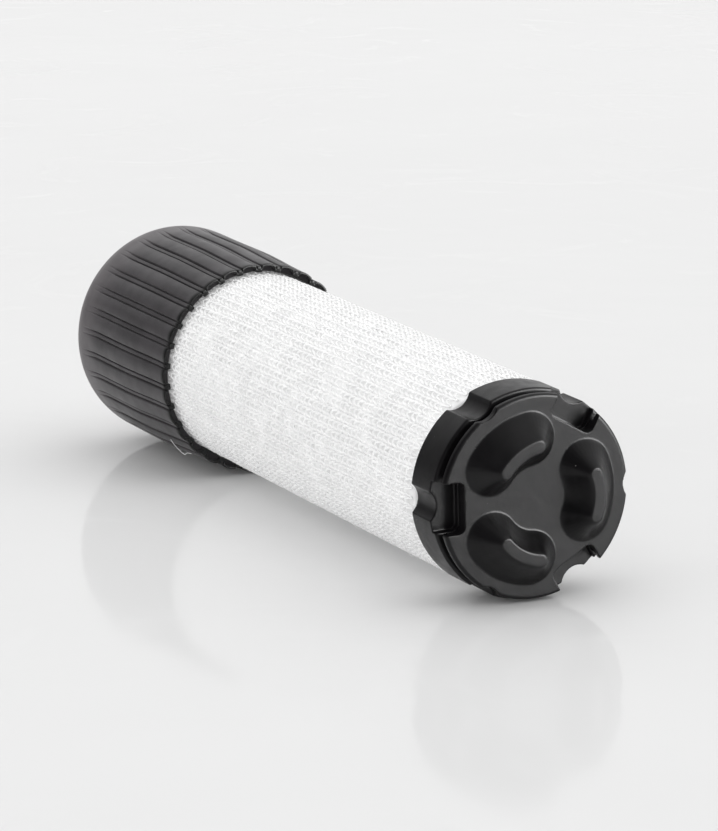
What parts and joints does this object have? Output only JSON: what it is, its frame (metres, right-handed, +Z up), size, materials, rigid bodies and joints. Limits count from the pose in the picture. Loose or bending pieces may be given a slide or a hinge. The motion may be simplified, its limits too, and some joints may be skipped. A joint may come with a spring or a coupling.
{
  "type": "inline water filter cartridge",
  "caption": "Netted carbon water filter cartridge: twist-locked front plate with three raised finger grips, knitted white sleeve, and a ribbed pull-off cap over the outlet.",
  "frame": {"origin": "on the table, under the middle of the object's box", "axes": "+X along the cartridge towards the front plate (the cartridge's own axis dips towards the front plate by 1.21 degrees as it lies on its rims), +Z up"},
  "size_m": [0.197, 0.051, 0.0517],
  "materials": {
    "black_plastic": "satin",
    "black_rubber": "satin",
    "white_plastic": "satin",
    "clear_filament": "gloss",
    "white_fleece": "matte",
    "carbon": "matte",
    "foam": "matte",
    "seal_rubber": "matte",
    "spring_steel": "satin"
  },
  "bodies": {
    "cartridge": {"front_collar": "black_plastic", "plate_o_ring": "seal_rubber", "front_bond_ring": "seal_rubber", "front_foam": "foam", "core_tube": "white_plastic", "fines_fleece": "white_fleece", "carbon_bed": "carbon", "outer_cage": "white_plastic", "prefilter_fleece": "white_fleece", "net_sleeve": "clear_filament", "rear_foam": "foam", "rear_bond_ring": "seal_rubber", "rear_end_cap": "white_plastic", "spigot_o_ring_front": "seal_rubber", "spigot_o_ring_rear": "seal_rubber", "valve_seat": "white_plastic", "valve_spring": "spring_steel", "valve_retainer": "white_plastic"},
    "front_lid": {"front_plate": "black_plastic"},
    "valve": {"valve_poppet": "white_plastic", "valve_seal": "seal_rubber"},
    "outlet_washer": {"cap_seal": "seal_rubber"},
    "grip_cap": {"ribbed_cap": "black_rubber", "cap_plug": "white_plastic"}
  },
  "joints": [
    {"name": "plate_turn", "type": "hinge", "parent": "cartridge", "child": "front_lid", "pos_m": [0.09269, 0, 0.02252], "axis": [0.9998, 0, -0.0212], "range_deg": [0, 40]},
    {"name": "valve_lift", "type": "slide", "parent": "cartridge", "child": "valve", "axis": [-0.9998, 0, 0.0212], "range_m": [0, 0.0022], "stiffness_N_per_m": 120, "springref_m": -0.002, "deforming": ["valve_spring"]},
    {"name": "cap_pull", "type": "slide", "parent": "cartridge", "child": "outlet_washer", "axis": [-0.9998, 0, 0.0212], "range_m": [0, 0.052]},
    {"name": "cap_turn", "type": "hinge", "parent": "outlet_washer", "child": "grip_cap", "pos_m": [-0.09826, 0, 0.02656], "axis": [-0.9998, 0, 0.0212], "continuous": true}
  ]
}
